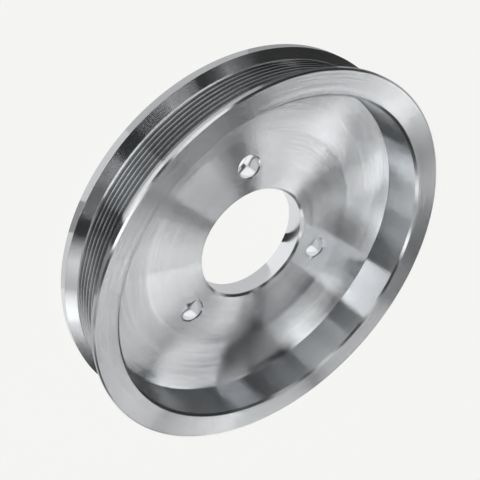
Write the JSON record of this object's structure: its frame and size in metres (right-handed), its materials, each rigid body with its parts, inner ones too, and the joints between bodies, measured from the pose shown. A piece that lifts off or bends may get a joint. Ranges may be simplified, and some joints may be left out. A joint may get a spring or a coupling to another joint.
{
  "type": "ribbed belt pulley",
  "caption": "Aluminium pulley for a ribbed belt, with raised rims, a deep recessed front, a centre bore and a ring of bolt holes.",
  "frame": {"origin": "centre of the hub's rear face, on the bore axis", "axes": "+Z along the bore axis, out of the recessed front; +X through the centre of one bolt hole"},
  "size_m": [0.176, 0.176, 0.0351],
  "materials": {
    "turned_aluminium": "bright turned, with fine lathe marks"
  },
  "bodies": {
    "root": {"ribbed_pulley": "turned_aluminium"}
  },
  "joints": []
}
